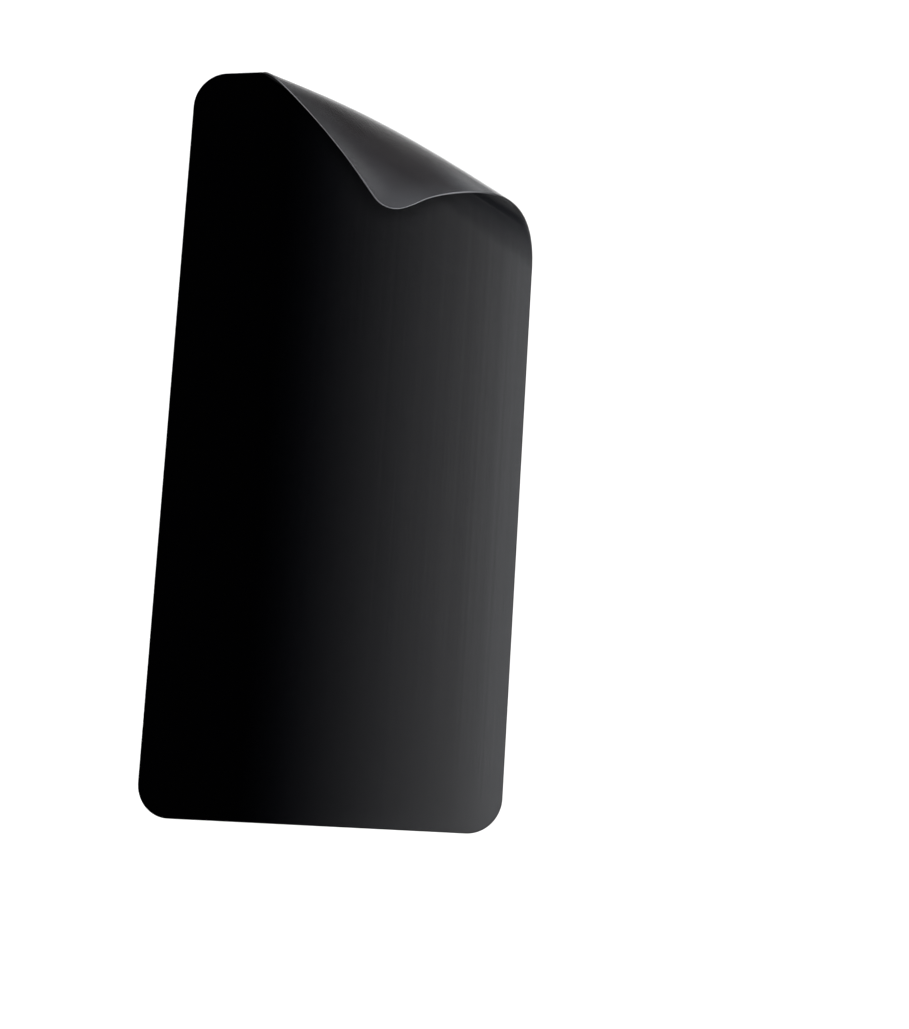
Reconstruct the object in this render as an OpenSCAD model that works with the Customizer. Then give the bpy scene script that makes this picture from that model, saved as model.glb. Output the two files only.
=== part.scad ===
// Privacy filter film for a small screen: one thin laminated sheet with round corners.
// It lies face up. Its upper right corner is peeled up and rolled back over the face,
// so that the underside of the corner shows.

/* [Film] */
// Width of the film, from side to side
film_w = 68; // [62:0.5:80]
// Height of the film, from the bottom edge to the top edge
film_h = 141; // [90:0.5:170]
// Thickness of the laminate
film_t = 0.3; // [0.2:0.05:0.6]
// Radius of the round corners
corner_r = 6.3; // [4:0.1:9]

/* [Peeled corner] */
// Start of the curl on the top edge, measured from the right edge
curl_top = 54.8; // [46:0.1:55]
// Start of the curl on the right edge, measured from the top edge
curl_side = 39.7; // [32:0.1:46]
// Heading of the roll early in the curl, in degrees from the film's width
roll_early = 67; // [62:0.1:72]
// Heading of the roll late in the curl
roll_late = 77.7; // [72:0.1:84]
// Heading of the roll at the tip of the corner
roll_tip = 61.4; // [56:0.1:70]
// Turning rate where the curl starts, in degrees over its whole travel
bend_start = 344; // [300:1:480]
// Turning rate early in the curl
bend_early = 390; // [200:1:440]
// Turning rate late in the curl: below zero, the flap flattens out
bend_late = -433; // [-500:1:-300]
// Turning rate at the tip of the corner
bend_tip = 498; // [420:1:560]
// Outward bulge across the middle of the flap
bulge = 2.4; // [0:0.1:4]

/* [Smoothness] */
// Roll lines along the curl
roll_lines = 56; // [32:1:80]
// Points across each roll line
across = 8; // [4:1:12]

/* [Hidden] */
half_w = film_w / 2;
half_h = film_h / 2;
// Centre of the peeled corner's arc: the curl is measured from here
arc_c = [half_w - corner_r, half_h - corner_r];
// Heading and place of the line where the film leaves the flat
start_heading = atan2(curl_top, curl_side);
start_reach = heading_dir(start_heading) * [corner_r - curl_top, corner_r];
// The last roll line spans this much of the corner's arc to each side of the tip
tip_half_angle = 4;
tip_reach = corner_r * cos(tip_half_angle);
// Flat strip that the curled part shares with the flat part
lap = 1;

// Smooth blend through a short list of values, from the first to the last
function blend(values, s) =
    len(values) == 1 ? values[0]
    : (1 - s) * blend([for (i = [0 : len(values) - 2]) values[i]], s)
        + s * blend([for (i = [1 : len(values) - 1]) values[i]], s);

function heading_dir(angle) = [cos(angle), sin(angle)];
function unit(v) = v / norm(v);

// Progress of roll line i, from 0 at the flat to 1 at the tip, closer together at both
function progress(i) = let (v = i / roll_lines) v * v * (3 - 2 * v);
function heading(s) = blend([start_heading, roll_early, roll_late, roll_tip], s);
function reach(s) = start_reach + (tip_reach - start_reach) * s;
function bend_rate(s) = blend([bend_start, bend_early, bend_late, bend_tip], s);
// Each roll line takes up the bending half way to its neighbours
function half_way(i) =
    i < 0 ? 0 : i >= roll_lines ? 1 : (progress(i) + progress(i + 1)) / 2;
// The bulge grows from nothing, is full two thirds along and is gone at the tip
function bulge_at(s) = bulge * 27 / 4 * s * s * (1 - s);

// Ends of a roll line on the flat film's outline, measured from the arc's centre:
// on the straight edge, or on the arc once the line has passed the edge's end
function half_chord(d) = sqrt(max(corner_r * corner_r - d * d, 0));
function end_on_top(n, d) =
    let (x = (d - n.y * corner_r) / n.x)
    x <= 0 ? [x, corner_r] : d * n - half_chord(d) * [n.y, -n.x];
function end_on_side(n, d) =
    let (y = (d - n.x * corner_r) / n.y)
    y <= 0 ? [corner_r, y] : d * n + half_chord(d) * [n.y, -n.x];

// Turning the rest of the film about a roll line through point p, by an angle
function shift(v) = [[1, 0, 0, v.x], [0, 1, 0, v.y], [0, 0, 1, v.z], [0, 0, 0, 1]];
function turn(axis, angle) =
    let (c = cos(angle), s = sin(angle), k = 1 - c)
    [[c + axis.x * axis.x * k, axis.x * axis.y * k, axis.y * s, 0],
     [axis.x * axis.y * k, c + axis.y * axis.y * k, -axis.x * s, 0],
     [-axis.y * s, axis.x * s, c, 0],
     [0, 0, 0, 1]];
function fold(i) =
    let (
        s = progress(i),
        n = heading_dir(heading(s)),
        p = concat(arc_c + end_on_top(n, reach(s)), film_t / 2),
        angle = bend_rate(s) * (half_way(i) - half_way(i - 1))
    )
    shift(p) * turn([n.y, -n.x], angle) * shift(-p);

// Where each roll line's stretch of the film has been carried to
places = [for (i = 0, m = fold(0); i <= roll_lines;
    i = i + 1, m = i <= roll_lines ? m * fold(i) : m) m];

function facing(m) = [m[0][2], m[1][2], m[2][2]];
function carried(m, p) = let (q = m * [p.x, p.y, film_t / 2, 1]) [q.x, q.y, q.z];

// Middle of the sheet along roll line i: straight across, then pushed out by the bulge
function roll_line(i) =
    let (
        s = progress(i),
        n = heading_dir(heading(s)),
        a = arc_c + end_on_top(n, reach(s)),
        b = arc_c + end_on_side(n, reach(s)),
        out = -unit(facing(places[i]) + facing(places[max(i - 1, 0)]))
    )
    [for (j = [0 : across])
        let (u = j / across)
        carried(places[i], a + (b - a) * u) + out * bulge_at(s) * 4 * u * (1 - u)];

sheet = [for (i = [0 : roll_lines]) roll_line(i)];

// Direction of the front face at each point of the curled sheet
function front(i, j) =
    i == 0 ? [0, 0, 1]
    : unit(cross(
        sheet[i][min(j + 1, across)] - sheet[i][max(j - 1, 0)],
        sheet[min(i + 1, roll_lines)][j] - sheet[i - 1][j]));

// A flat row just before the curl, so that the two parts share a strip of film
start_dir = heading_dir(start_heading);
lap_top = arc_c + end_on_top(start_dir, start_reach - lap);
lap_side = arc_c + end_on_side(start_dir, start_reach - lap);
function lap_row(z) =
    [for (j = [0 : across]) concat(lap_top + (lap_side - lap_top) * j / across, z)];
function face_row(i, side) =
    [for (j = [0 : across]) sheet[i][j] + front(i, j) * side * film_t / 2];

// Film outline: exact round corners
module outline() {
    square([film_w - 2 * corner_r, film_h], center = true);
    square([film_w, film_h - 2 * corner_r], center = true);
    for (x = [-1, 1], y = [-1, 1])
        translate([x * arc_c.x, y * arc_c.y])
            circle(r = corner_r, $fn = 96);
}

// The part of the film that stays flat: all but the corner beyond the start of the curl
module flat_part() {
    past = film_w + film_h;
    linear_extrude(height = film_t)
        difference() {
            outline();
            translate(arc_c + start_dir * (start_reach - lap / 2))
                rotate(start_heading)
                    translate([0, -past])
                        square([past, 2 * past]);
        }
}

// The curled corner: front and under faces a film's thickness apart
module curled_part() {
    fronts = concat([lap_row(film_t)], [for (i = [0 : roll_lines]) face_row(i, 1)]);
    unders = concat([lap_row(0)], [for (i = [0 : roll_lines]) face_row(i, -1)]);
    rows = len(fronts);
    cols = across + 1;
    under0 = rows * cols;
    function at(r, c) = r * cols + c;
    points = concat([for (row = fronts) each row], [for (row = unders) each row]);
    front_faces = [for (r = [0 : rows - 2], c = [0 : across - 1])
        each [[at(r, c), at(r + 1, c + 1), at(r, c + 1)],
              [at(r, c), at(r + 1, c), at(r + 1, c + 1)]]];
    under_faces = [for (f = front_faces) [f[2] + under0, f[1] + under0, f[0] + under0]];
    // Cut edges all round: the rim runs down one side, along the tip and back
    rim = concat(
        [for (r = [0 : rows - 1]) at(r, 0)],
        [for (c = [1 : across]) at(rows - 1, c)],
        [for (r = [rows - 2 : -1 : 0]) at(r, across)],
        [for (c = [across - 1 : -1 : 1]) at(0, c)]);
    edge_faces = [for (k = [0 : len(rim) - 1])
        let (a = rim[k], b = rim[(k + 1) % len(rim)])
        each [[a, b + under0, b], [a, a + under0, b + under0]]];
    polyhedron(points = points, faces = concat(front_faces, under_faces, edge_faces));
}

module filter_film() {
    color([0.05, 0.05, 0.06])
        union() {
            flat_part();
            curled_part();
        }
}

filter_film();
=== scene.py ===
import math

import bpy
import numpy as np
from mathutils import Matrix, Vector


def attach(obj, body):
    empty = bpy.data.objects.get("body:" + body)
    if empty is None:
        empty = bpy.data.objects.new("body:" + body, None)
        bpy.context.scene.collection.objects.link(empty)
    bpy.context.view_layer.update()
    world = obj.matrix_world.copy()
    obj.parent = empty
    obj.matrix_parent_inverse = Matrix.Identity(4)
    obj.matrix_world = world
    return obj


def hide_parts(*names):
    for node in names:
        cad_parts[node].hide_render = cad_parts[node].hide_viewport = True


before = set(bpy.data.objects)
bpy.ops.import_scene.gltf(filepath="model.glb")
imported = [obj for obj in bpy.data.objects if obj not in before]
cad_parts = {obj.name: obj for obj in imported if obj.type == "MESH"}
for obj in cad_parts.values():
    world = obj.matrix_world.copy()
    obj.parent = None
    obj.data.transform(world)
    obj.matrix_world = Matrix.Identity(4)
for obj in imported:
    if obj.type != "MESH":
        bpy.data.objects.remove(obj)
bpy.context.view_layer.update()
mm = 0.001

print("frame loaded")


# Shader helpers

class Wire:
    # A node's output that can stand in a sum
    def __init__(self, finish, socket):
        self.finish = finish
        self.socket = socket

    def __add__(self, other):
        return self.finish.maths("ADD", self, other)

    def __sub__(self, other):
        return self.finish.maths("SUBTRACT", self, other)

    def __rsub__(self, other):
        return self.finish.maths("SUBTRACT", other, self)

    def __mul__(self, other):
        return self.finish.maths("MULTIPLY", self, other)

    def __truediv__(self, other):
        return self.finish.maths("DIVIDE", self, other)

    def __rtruediv__(self, other):
        return self.finish.maths("DIVIDE", other, self)

    __radd__ = __add__
    __rmul__ = __mul__


class Finish:
    # A material, or the world, and the nodes in it
    def __init__(self, owner):
        self.owner = owner
        owner.use_nodes = True
        self.tree = owner.node_tree
        self.tree.nodes.clear()

    def node(self, kind, settings=None, sockets=None, out=0):
        made = self.tree.nodes.new(kind)
        for name, value in (settings or {}).items():
            if name == "stops":
                self.setStops(made.color_ramp.elements, value)
            else:
                setattr(made, name, value)
        for name, value in (sockets or {}).items():
            if isinstance(value, Wire):
                self.tree.links.new(value.socket, made.inputs[name])
            else:
                made.inputs[name].default_value = value
        return Wire(self, made.outputs[out]) if made.outputs else made

    def setStops(self, elements, stops):
        while len(elements) < len(stops):
            elements.new(1.0)
        for element, (place, shade) in zip(elements, stops):
            element.position = place
            element.color = shade

    def maths(self, operation, a, b=0.0, clamp=False):
        return self.node("ShaderNodeMath", {"operation": operation, "use_clamp": clamp}, {0: a, 1: b})

    def parts(self, vector):
        # The three numbers of a vector
        split = self.node("ShaderNodeSeparateXYZ", sockets={"Vector": vector})
        return [Wire(self, socket) for socket in split.socket.node.outputs]

    def vectorMaths(self, operation, a, b, out=0):
        return self.node("ShaderNodeVectorMath", {"operation": operation}, {0: a, 1: b}, out)

    def blend(self, amount, first, second):
        settings = {"data_type": "RGBA", "blend_type": "MIX"}
        return self.node("ShaderNodeMix", settings, {"Factor": amount, "A": first, "B": second}, out=2)

    def between(self, value, low, high):
        # 0 below low, 1 above high and even between
        return self.maths("MULTIPLY", value - low, 1 / (high - low), clamp=True)

    def rising(self, least, value, low, high):
        # The same, but from a least share instead of 0
        return least + (1 - least) * self.between(value, low, high)

    def band(self, value, rise, fall):
        # Up from 0 to 1 over one stretch and down again over another
        return self.between(value, *rise) * (1 - self.between(value, *fall))


def newMaterial(name):
    return Finish(bpy.data.materials.new(name))


def addObject(name, data):
    made = bpy.data.objects.new(name, data)
    bpy.context.scene.collection.objects.link(made)
    return made


# The camera stands where the photograph was taken from

cameraPose = {
    "place": (133.3 * mm, -86.6 * mm, 403.1 * mm),
    "turn": (10.76, 14.78, 3.54),  # degrees about X, Y and Z
    "lens": 83.07,
    "sensor": 36,                  # along the frame's height
    "clipStart": 10 * mm,
}


def makeCamera(pose):
    data = bpy.data.cameras.new("camera")
    data.lens = pose["lens"]
    data.sensor_width = pose["sensor"]
    data.clip_start = pose["clipStart"]
    camera = addObject("camera", data)
    camera.location = pose["place"]
    camera.rotation_euler = [math.radians(angle) for angle in pose["turn"]]
    bpy.context.scene.camera = camera


makeCamera(cameraPose)
print("camera placed")


# The film: one sheet with its upper right corner peeled up and rolled back

filmSheet = {
    "width": 68 * mm,
    "height": 141 * mm,
    "thick": 0.3 * mm,
    "corner": 6.3 * mm,
    "chamfer": 0.04 * mm,      # broken edge of the cut
    "cutCorners": (0.1, 0.9),  # the cut's two corners through the thickness, for its finish
    "arcSteps": 24,            # points along a round corner
    "sharpFrom": 30,           # degrees between two faces that meet in a crisp edge
    # Where the roll starts, which way it heads and how fast it turns
    "peel": {
        "alongTop": 54.8 * mm,
        "alongSide": 39.7 * mm,
        "heading": (67, 77.7, 61.4),       # degrees: early, late and at the tip
        "turning": (344, 390, -433, 498),  # degrees over the whole roll, from start to tip
        "bulge": 2.4 * mm,                 # outward, across the middle of the flap
        "tipAngle": 4,                     # degrees of the corner's arc on each side of the tip
        "rollLines": 150,
        "across": 44,
    },
    # Faint stripes of the louvres and touched patches, on both sides
    "grain": {
        "stripeSteps": 0.8,        # few up the sheet, so that the stripes are long
        "stripeDetail": 2.0,
        "patchSteps": (3.4, 7.0),  # across and up the sheet
        "patchDetail": 3.0,
        "patchWarp": 0.4,
    },
    # Shares across are of the sheet's width, shares along are of the roll, flat to tip
    "face": {
        "black": (0.0002, 0.0002, 0.0003, 1),
        "cool": (0.0016, 0.0022, 0.0045, 1),
        "clears": (0.285, 1.0),   # across: black before, clearest at the right edge
        "clearest": 0.22,         # light let through there
        "standsUp": (0.0, 0.18),  # along
        "peeledClear": 0.14,      # share of that light left where the sheet stands up
        "louvreDepth": 0.10,      # how much the louvres stripe that light
        "louvres": 150,
        "roughness": 0.06,
        "louvreRough": 0.15,
        "touchRough": 0.5,
        "specular": 0.20,
    },
    "underside": {
        "dark": (0.0250, 0.0224, 0.0236, 1),
        "grey": (0.0350, 0.0313, 0.0334, 1),
        "greys": (0.5, 0.85),        # across: dark before, grey towards the clear side
        "louvres": 90,
        "louvreShade": 0.05,         # how far their stripes reach towards the painted highlight's tone
        "roughness": 0.22,
        "louvreRough": 0.08,
        "touchRough": 0.15,
        "specular": 0.10,
        "alpha": 0.50,
        # Painted highlight inside the outline, and a painted highlight over a whole patch at the fold's
        # right end
        "border": (0.136, 0.140, 0.151, 1),
        "borderWidth": (3.2, 9.0),   # mm over which it fades: at the narrow end, and near the corner
        "widens": (0.68, 0.90),      # across
        # Strength of the painted highlight in each part: all round, early, side and tip
        "share": {"all": 0.24, "early": 0.24, "side": 0.20, "tip": 0.48},
        "earlyLeast": 0.4,           # share of the early part at the roll's narrow end
        "earlyGrows": (0.40, 0.60),  # across
        "earlyEnds": (0.70, 0.80),   # across
        "side": (0.94, 0.99),        # across
        "tip": (0.78, 0.92),         # along
        "foldEnd": (0.85, 0.97),     # across
        "foldFades": (0.55, 0.68),   # along
        # A brighter painted highlight along the crest, where the sheet folds over
        "crest": (0.250, 0.253, 0.263, 1),
        "crestRises": (0.43, 0.48),  # along
        "crestFalls": (0.48, 0.57),  # along
        "crestLeast": 0.3,           # share of it away from the right edge
        "crestGrows": (0.90, 0.97),  # across
    },
    "cutEdge": {
        # clear and core make the painted highlight; dark is the painted shade
        "clear": (0.61, 0.62, 0.66, 1),
        "core": (0.30, 0.30, 0.33, 1),
        "dark": (0.010, 0.010, 0.012, 1),
        "coreStarts": (0.35, 0.45),  # through the thickness
        "coreEnds": (0.55, 0.65),
        "shows": (0.38, 0.66),       # along: painted shade before, painted highlight of clear layers after
        "topLeast": 0.72,            # share of the painted highlight on the peeled top edge
        "topGrows": (0.92, 0.96),    # across
        "sideLeast": 0.36,           # and on the peeled right edge
        "sideGrows": (0.95, 0.985),  # up the sheet
        "roughness": 0.3,
    },
}

# Order of the sheet's materials
onFace, onUnderside, onCut = range(3)


def easeThrough(values, s):
    # Smooth blend through a short list, from its first value to its last
    if len(values) == 1:
        return values[0]
    return (1 - s) * easeThrough(values[:-1], s) + s * easeThrough(values[1:], s)


def unit(v):
    return v / np.linalg.norm(v, axis=-1, keepdims=True)


def towards(degrees):
    angle = math.radians(degrees)
    return np.array([math.cos(angle), math.sin(angle)])


def halfSize(sheet):
    return np.array([sheet["width"], sheet["height"]]) / 2


def turnAbout(axis, angle):
    x, y, z = axis
    c, s = math.cos(angle), math.sin(angle)
    cross = np.array([[0, -z, y], [z, 0, -x], [-y, x, 0]])
    return np.eye(3) * c + s * cross + (1 - c) * np.outer(axis, axis)


def bulgeShape(s, across):
    # 1 in the middle of the roll line two thirds along, 0 at the edges, the start and the tip
    return 27 / 4 * s * s * (1 - s) * 4 * across * (1 - across)


def rollLineEnds(normal, reach, radius):
    # Where a roll line leaves the sheet, measured from the centre of the corner's arc
    run = np.array([normal[1], -normal[0]])
    half = math.sqrt(max(radius ** 2 - reach ** 2, 0))
    x = (reach - normal[1] * radius) / normal[0]
    y = (reach - normal[0] * radius) / normal[1]
    top = np.array([x, radius]) if x <= 0 else reach * normal - half * run
    side = np.array([radius, y]) if y <= 0 else reach * normal + half * run
    return top, side


def rollTheCorner(sheet):
    # Roll lines of the curled corner, each with its points in space and on the flat sheet
    roll = sheet["peel"]
    radius = sheet["corner"] - sheet["chamfer"]
    arc = halfSize(sheet) - sheet["corner"]
    startHeading = math.degrees(math.atan2(roll["alongTop"], roll["alongSide"]))
    startReach = towards(startHeading) @ [sheet["corner"] - roll["alongTop"], sheet["corner"]]
    tipReach = radius * math.cos(math.radians(roll["tipAngle"]))
    across = np.linspace(0, 1, roll["across"] + 1)

    v = np.linspace(0, 1, roll["rollLines"] + 1)
    progress = v * v * (3 - 2 * v)  # lines lie closer at the start and at the tip
    halfWay = np.concatenate([[0], (progress[1:] + progress[:-1]) / 2, [1]])  # where a line's share ends
    turned, moved = np.eye(3), np.array([0, 0, sheet["thick"] / 2])
    placed, flat, runs = [], [], []
    for k, s in enumerate(progress):
        normal = towards(easeThrough((startHeading, *roll["heading"]), s))
        run = np.array([normal[1], -normal[0], 0.0])
        reach = startReach + (tipReach - startReach) * s
        top, side = (arc + end for end in rollLineEnds(normal, reach, radius))
        # The rest of the sheet turns about this line
        angle = easeThrough(roll["turning"], s) * (halfWay[k + 1] - halfWay[k])
        fold = turnAbout(run, math.radians(angle))
        pivot = np.array([*top, 0.0])
        lastFacing = turned[:, 2]
        moved = turned @ (pivot - fold @ pivot) + moved
        turned = turned @ fold
        line = top + (side - top) * across[:, None]
        spots = np.column_stack([line, np.zeros(len(line))])
        out = -unit(lastFacing + turned[:, 2])
        swell = roll["bulge"] * bulgeShape(s, across)
        placed.append(spots @ turned.T + moved + out * swell[:, None])
        flat.append(line)
        runs.append(run)
    return {"placed": np.array(placed), "flat": np.array(flat), "runs": np.array(runs), "travel": progress}


def addDirections(curl):
    # At each point: out of the front face, along the roll line and on towards the tip
    alongLine = unit(np.gradient(curl["placed"], axis=1))
    front = unit(np.cross(alongLine, np.gradient(curl["placed"], axis=0)))
    front[0] = (0, 0, 1)
    alongLine[0] = curl["runs"][0]
    curl.update(front=front, alongLine=alongLine, towardsTip=unit(np.cross(front, alongLine)))


def outlineNormal(spot, sheet):
    # Flat direction square to the sheet's outline at a point on it
    past = np.abs(spot) - (halfSize(sheet) - sheet["corner"])
    if past[0] > 0 and past[1] > 0:
        return unit(past * np.sign(spot))
    side = np.argmax(np.abs(spot) - halfSize(sheet))
    return np.eye(2)[side] * np.sign(spot[side])


def flatOutline(sheet):
    # Points round the three flat corners, clockwise from the lower right one
    radius = sheet["corner"] - sheet["chamfer"]
    points = []
    for side, fromAngle in (((1, -1), 0), ((-1, -1), -90), ((-1, 1), -180)):
        centre = (halfSize(sheet) - sheet["corner"]) * side
        for k in range(sheet["arcSteps"] + 1):
            points.append(centre + radius * towards(fromAngle - 90 * k / sheet["arcSteps"]))
    return points


class SheetMesh:
    # Points with their places on the flat sheet, and faces with their material
    def __init__(self, sheet):
        self.sheet = sheet
        self.points, self.sheetPlaces, self.peelPlaces = [], [], []
        self.faces, self.materials = [], []

    def point(self, place, spot, depth, along=0.0):
        self.points.append(tuple(place))
        across, up = spot / (2 * halfSize(self.sheet)) + 0.5
        self.sheetPlaces.append((across, up, depth))
        self.peelPlaces.append(along)
        return len(self.points) - 1

    def face(self, corners, material):
        self.faces.append(corners)
        self.materials.append(material)

    def addSide(self, curl, side, depth, material):
        # The front face or the underside: gives back its curled grid and its flat outline
        half = self.sheet["thick"] / 2
        surface = curl["placed"] + side * half * curl["front"]
        rows, cols = surface.shape[:2]
        grid = [[self.point(surface[r, c], curl["flat"][r, c], depth, curl["travel"][r])
                 for c in range(cols)] for r in range(rows)]
        outline = [self.point((*spot, half + side * half), spot, depth) for spot in flatOutline(self.sheet)]
        for r in range(rows - 1):
            for c in range(cols - 1):
                quad = [grid[r][c], grid[r][c + 1], grid[r + 1][c + 1], grid[r + 1][c]]
                self.face(quad[::side], material)
        self.face((outline + grid[0])[::-side], material)  # the flat part, up to the first roll line
        return grid, outline

    def addCutEdge(self, curl, front, underside, material):
        # From the front face over two small chamfers to the underside, once round the sheet
        half, chamfer = self.sheet["thick"] / 2, self.sheet["chamfer"]
        upper, lower = self.sheet["cutCorners"]
        (frontGrid, frontOutline), (underGrid, underOutline) = front, underside
        rings = []

        def addRing(first, last, middle, lift, spot, along=0.0):
            rings.append([first, self.point(middle + lift, spot, upper, along),
                          self.point(middle - lift, spot, lower, along), last])

        for k, spot in enumerate(flatOutline(self.sheet)):
            middle = np.array([*(spot + outlineNormal(spot, self.sheet) * chamfer), half])
            addRing(frontOutline[k], underOutline[k], middle, np.array([0, 0, half - chamfer]), spot)
        rows, cols = curl["placed"].shape[:2]
        rim = [(r, 0) for r in range(rows)]
        rim += [(rows - 1, c) for c in range(1, cols)]
        rim += [(r, cols - 1) for r in range(rows - 2, -1, -1)]
        for r, c in rim:
            spot, run = curl["flat"][r, c], curl["runs"][r][:2]
            ahead = np.array([-run[1], run[0]])
            onLastLine = r == rows - 1 and 0 < c < cols - 1
            outward = ahead if onLastLine else outlineNormal(spot, self.sheet)
            out = (outward @ run) * curl["alongLine"][r, c] + (outward @ ahead) * curl["towardsTip"][r, c]
            middle, lift = curl["placed"][r, c] + out * chamfer, curl["front"][r, c] * (half - chamfer)
            addRing(frontGrid[r][c], underGrid[r][c], middle, lift, spot, curl["travel"][r])
        for ring, ahead in zip(rings, rings[1:] + rings[:1]):
            for band in range(3):
                self.face([ring[band], ahead[band], ahead[band + 1], ring[band + 1]], material)

    def build(self, name):
        mesh = bpy.data.meshes.new(name)
        mesh.from_pydata(self.points, [], self.faces)
        sheetPlace = mesh.attributes.new("sheetPlace", "FLOAT_VECTOR", "POINT")
        sheetPlace.data.foreach_set("vector", np.array(self.sheetPlaces, dtype=np.float32).ravel())
        peelPlace = mesh.attributes.new("peelPlace", "FLOAT", "POINT")
        peelPlace.data.foreach_set("value", np.array(self.peelPlaces, dtype=np.float32))
        mesh.polygons.foreach_set("material_index", self.materials)
        mesh.polygons.foreach_set("use_smooth", [True] * len(self.faces))
        mesh.update()
        mesh.validate()
        mesh.set_sharp_from_angle(angle=math.radians(self.sheet["sharpFrom"]))
        return addObject(name, mesh)


def buildSheet(sheet):
    curl = rollTheCorner(sheet)
    addDirections(curl)
    mesh = SheetMesh(sheet)
    front = mesh.addSide(curl, 1, 0.0, onFace)
    underside = mesh.addSide(curl, -1, 1.0, onUnderside)
    mesh.addCutEdge(curl, front, underside, onCut)
    return mesh.build("filterFilm")


film = buildSheet(filmSheet)
print("sheet rolled:", len(film.data.vertices), "points,", len(film.data.polygons), "faces")


# Finishes of the film

def sheetPlaceOf(finish):
    # Place on the flat sheet: across, up and through it, each from 0 to 1
    return finish.node("ShaderNodeAttribute", {"attribute_name": "sheetPlace"}, out=1)


def peelPlaceOf(finish):
    # Travel along the roll: 0 on the flat part, 1 at the tip
    return finish.node("ShaderNodeAttribute", {"attribute_name": "peelPlace"}, out=2)


def insetOf(finish, sheet, across, up):
    # Distance from the sheet's outline, round corners included, in millimetres
    corner = sheet["corner"] / mm

    def pastArc(share, length):
        fromMiddle = finish.maths("ABSOLUTE", share - 0.5) * length
        return finish.maths("MAXIMUM", fromMiddle - (length / 2 - corner), 0.0)

    x = pastArc(across, sheet["width"] / mm)
    y = pastArc(up, sheet["height"] / mm)
    return corner - finish.maths("SQRT", x * x + y * y)


def noiseOver(finish, place, steps, detail, warp=0.0):
    # Soft noise over the sheet, from -1 to 1, with so many steps across and up it
    noise = finish.node("ShaderNodeTexNoise", sockets={
        "Vector": finish.vectorMaths("MULTIPLY", place, (*steps, 1)),
        "Scale": 1.0,
        "Detail": detail,
        "Distortion": warp,
    })
    return 2 * noise - 1


def louvreStripes(finish, grain, place, count):
    # Faint upright stripes, as the louvres inside the sheet give
    return noiseOver(finish, place, (count, grain["stripeSteps"]), grain["stripeDetail"])


def touchedPatches(finish, grain, place):
    # Broad, soft patches where the sheet has been touched
    return noiseOver(finish, place, grain["patchSteps"], grain["patchDetail"], grain["patchWarp"])


def roughnessOf(look, stripes, patches):
    return look["roughness"] * (1 + look["louvreRough"] * stripes + look["touchRough"] * patches)


def makeFaceFinish(sheet):
    # Dark and glossy, clearer towards the right edge
    look = sheet["face"]
    finish = newMaterial("filmFace")
    place = sheetPlaceOf(finish)
    across = finish.parts(place)[0]
    stripes = louvreStripes(finish, sheet["grain"], place, look["louvres"])
    patches = touchedPatches(finish, sheet["grain"], place)
    clear = finish.between(across, *look["clears"])
    peeled = finish.between(peelPlaceOf(finish), *look["standsUp"])
    # The underside holds back its own share of the light
    most = look["clearest"] / (1 - sheet["underside"]["alpha"])
    letThrough = clear * most * (1 - peeled * (1 - look["peeledClear"]))
    surface = finish.node("ShaderNodeBsdfPrincipled", sockets={
        "Base Color": finish.blend(clear, look["black"], look["cool"]),
        "Roughness": roughnessOf(look, stripes, patches),
        "Specular IOR Level": look["specular"],
        "Alpha": 1 - letThrough * (1 + look["louvreDepth"] * stripes),
    })
    finish.node("ShaderNodeOutputMaterial", sockets={"Surface": surface})
    return finish.owner


def makeUnderFinish(sheet):
    # Satin grey, with a painted highlight inside the outline and a brighter painted highlight along the
    # fold's crest
    look = sheet["underside"]
    finish = newMaterial("filmUnderside")
    place = sheetPlaceOf(finish)
    across, up, _ = finish.parts(place)
    along = peelPlaceOf(finish)
    stripes = louvreStripes(finish, sheet["grain"], place, look["louvres"])
    patches = touchedPatches(finish, sheet["grain"], place)
    grey = finish.blend(finish.between(across, *look["greys"]), look["dark"], look["grey"])
    shaded = finish.blend(look["louvreShade"], grey, look["border"])
    striped = finish.blend(0.5 + 0.5 * stripes, grey, shaded)

    # Painted highlight fading in from the outline, wider near the corner
    narrow, wide = look["borderWidth"]
    width = narrow + (wide - narrow) * finish.between(across, *look["widens"])
    near = finish.maths("SUBTRACT", 1, insetOf(finish, sheet, across, up) / width, clamp=True)
    tip = finish.between(along, *look["tip"])
    side = finish.between(across, *look["side"]) * (1 - tip)
    early = finish.rising(look["earlyLeast"], across, *look["earlyGrows"])
    early = early * (1 - finish.between(across, *look["earlyEnds"]))
    share = look["share"]
    border = near * (share["all"] + share["early"] * early + share["side"] * side + share["tip"] * tip)
    # Painted highlight over the fold's right end
    foldEnd = finish.between(across, *look["foldEnd"]) * (1 - finish.between(along, *look["foldFades"]))
    edgeHighlighted = finish.blend(finish.maths("MAXIMUM", border, foldEnd), striped, look["border"])

    # Brighter painted highlight along the crest
    crest = finish.band(along, look["crestRises"], look["crestFalls"])
    crest = crest * finish.rising(look["crestLeast"], across, *look["crestGrows"])
    surface = finish.node("ShaderNodeBsdfPrincipled", sockets={
        "Base Color": finish.blend(crest, edgeHighlighted, look["crest"]),
        "Roughness": roughnessOf(look, stripes, patches),
        "Specular IOR Level": look["specular"],
        "Alpha": look["alpha"],
    })
    finish.node("ShaderNodeOutputMaterial", sockets={"Surface": surface})
    return finish.owner


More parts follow.
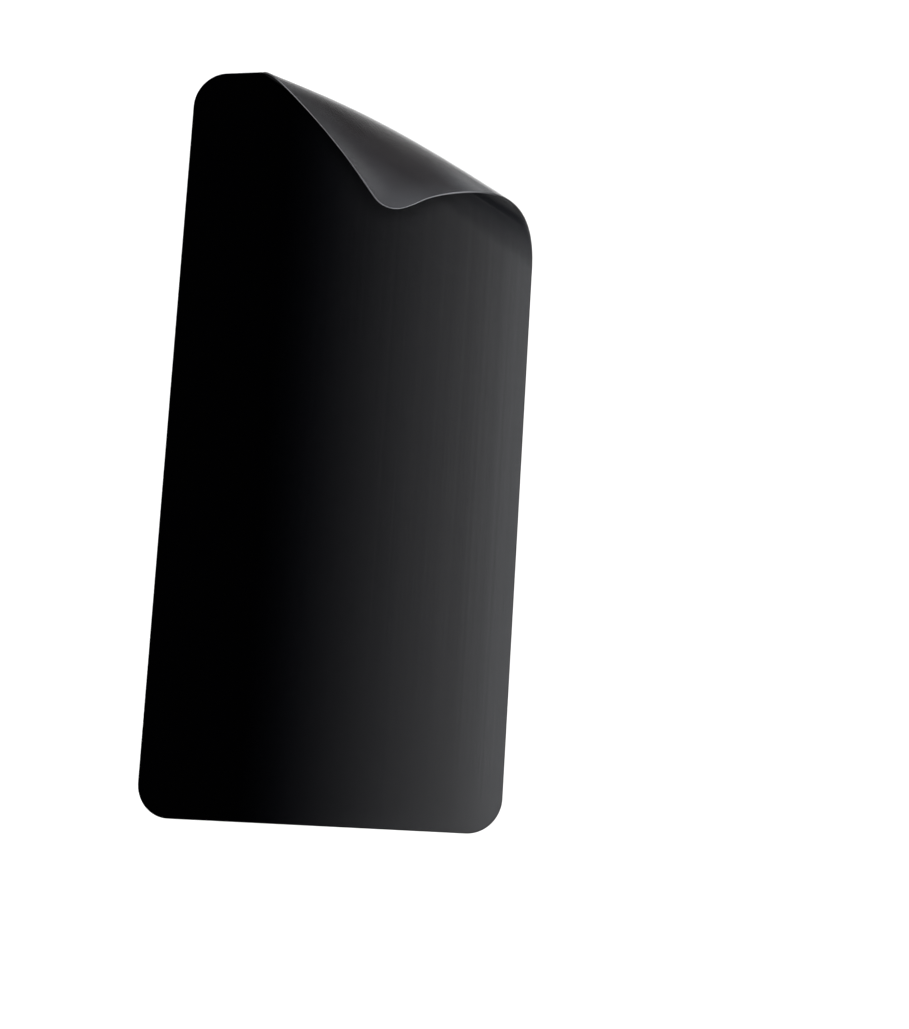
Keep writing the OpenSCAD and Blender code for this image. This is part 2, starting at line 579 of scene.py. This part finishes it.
def makeEdgeFinish(sheet):
    # Cut edge: painted highlight of clear layers about a greyer core where it is peeled, painted shade
    # elsewhere
    look = sheet["cutEdge"]
    finish = newMaterial("filmCutEdge")
    across, up, depth = finish.parts(sheetPlaceOf(finish))
    core = finish.band(depth, look["coreStarts"], look["coreEnds"])
    clear = finish.blend(core, look["clear"], look["core"])
    onTop = finish.rising(look["topLeast"], across, *look["topGrows"])
    onSide = finish.rising(look["sideLeast"], up, *look["sideGrows"])
    # Painted highlight on the peeled edges, fading in along the roll
    paintedHighlight = finish.between(peelPlaceOf(finish), *look["shows"]) * onSide * onTop
    surface = finish.node("ShaderNodeBsdfPrincipled", sockets={
        "Base Color": finish.blend(paintedHighlight, look["dark"], clear),
        "Roughness": look["roughness"],
    })
    finish.node("ShaderNodeOutputMaterial", sockets={"Surface": surface})
    return finish.owner


# In the order of onFace, onUnderside and onCut
for makeFinish in (makeFaceFinish, makeUnderFinish, makeEdgeFinish):
    film.data.materials.append(makeFinish(filmSheet))
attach(film, "root")
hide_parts("filter_film")
print("film finished")


# Floor, light and air

studio = {
    "floorSize": 12.0,
    "floorColour": (0.86, 0.86, 0.86, 1),
    "floorRoughness": 0.9,
    "floorDrop": 0.02 * mm,             # keeps it off the film's underside
    "backdrop": (1.05, 1.05, 1.05, 1),  # what the camera sees beyond the floor
    # What the gloss mirrors, by the height of the direction: -1 straight down, 1 straight up
    "mirrored": [(-0.94, 0.55), (-0.76, 0.95), (-0.50, 0.95), (-0.30, 0.66), (-0.12, 0.54), (-0.03, 0.50),
                 (-0.02, 1.05), (0.015, 1.05),  # the lit floor's far end
                 (0.03, 0.33), (0.62, 0.33), (0.86, 0.002)],
    "glow": {"from": (-0.874, 0.302, 0.380), "edge": 0.75, "strength": 1.8},  # edge: cosine where it ends
    "sun": {"from": (0.33, -0.27, 0.90), "angle": 16, "strength": 4.0},       # angle: degrees across
}


def makeFloor(look):
    half = look["floorSize"] / 2
    corners = [(-half, -half, 0), (half, -half, 0), (half, half, 0), (-half, half, 0)]
    mesh = bpy.data.meshes.new("floor")
    mesh.from_pydata(corners, [], [(0, 1, 2, 3)])
    floor = addObject("floor", mesh)
    floor.location.z = -look["floorDrop"]
    finish = newMaterial("paleFloor")
    surface = finish.node("ShaderNodeBsdfPrincipled", sockets={
        "Base Color": look["floorColour"],
        "Roughness": look["floorRoughness"],
        "Specular IOR Level": 0.0,
    })
    finish.node("ShaderNodeOutputMaterial", sockets={"Surface": surface})
    mesh.materials.append(finish.owner)
    floor.visible_glossy = False  # the gloss mirrors the world's soft tones instead


def makeWorld(look):
    # Soft light from low down all round, a glow from the left and a dark ceiling
    world = bpy.data.worlds.new("studio")
    bpy.context.scene.world = world
    finish = Finish(world)
    sky = finish.node("ShaderNodeTexCoord")
    height = finish.parts(sky)[2]
    stops = [(0.5 + 0.5 * at, (grey, grey, grey, 1)) for at, grey in look["mirrored"]]
    tones = finish.node("ShaderNodeValToRGB", {"stops": stops}, {"Fac": 0.5 + 0.5 * height})
    seen = finish.node("ShaderNodeLightPath")  # 1 where the camera looks at the world itself
    allRound = finish.node("ShaderNodeBackground", sockets={
        "Color": finish.blend(seen, tones, look["backdrop"]),
        "Strength": 1.0,
    })
    glow = look["glow"]
    lit = finish.between(finish.vectorMaths("DOT_PRODUCT", sky, glow["from"], out=1), glow["edge"], 1)
    fromLeft = finish.node("ShaderNodeBackground", sockets={
        "Color": (1, 1, 1, 1),
        "Strength": glow["strength"] * lit * lit,
    })
    both = finish.node("ShaderNodeAddShader", sockets={0: allRound, 1: fromLeft})
    finish.node("ShaderNodeOutputWorld", sockets={"Surface": both})


def makeSun(look):
    data = bpy.data.lights.new("sun", "SUN")
    data.angle = math.radians(look["angle"])
    data.energy = look["strength"]
    sun = addObject("sun", data)
    sun.rotation_euler = Vector(look["from"]).to_track_quat("Z", "Y").to_euler()


makeFloor(studio)
makeWorld(studio)
makeSun(studio["sun"])
bpy.context.scene.view_settings.view_transform = "Standard"
print("studio lit")
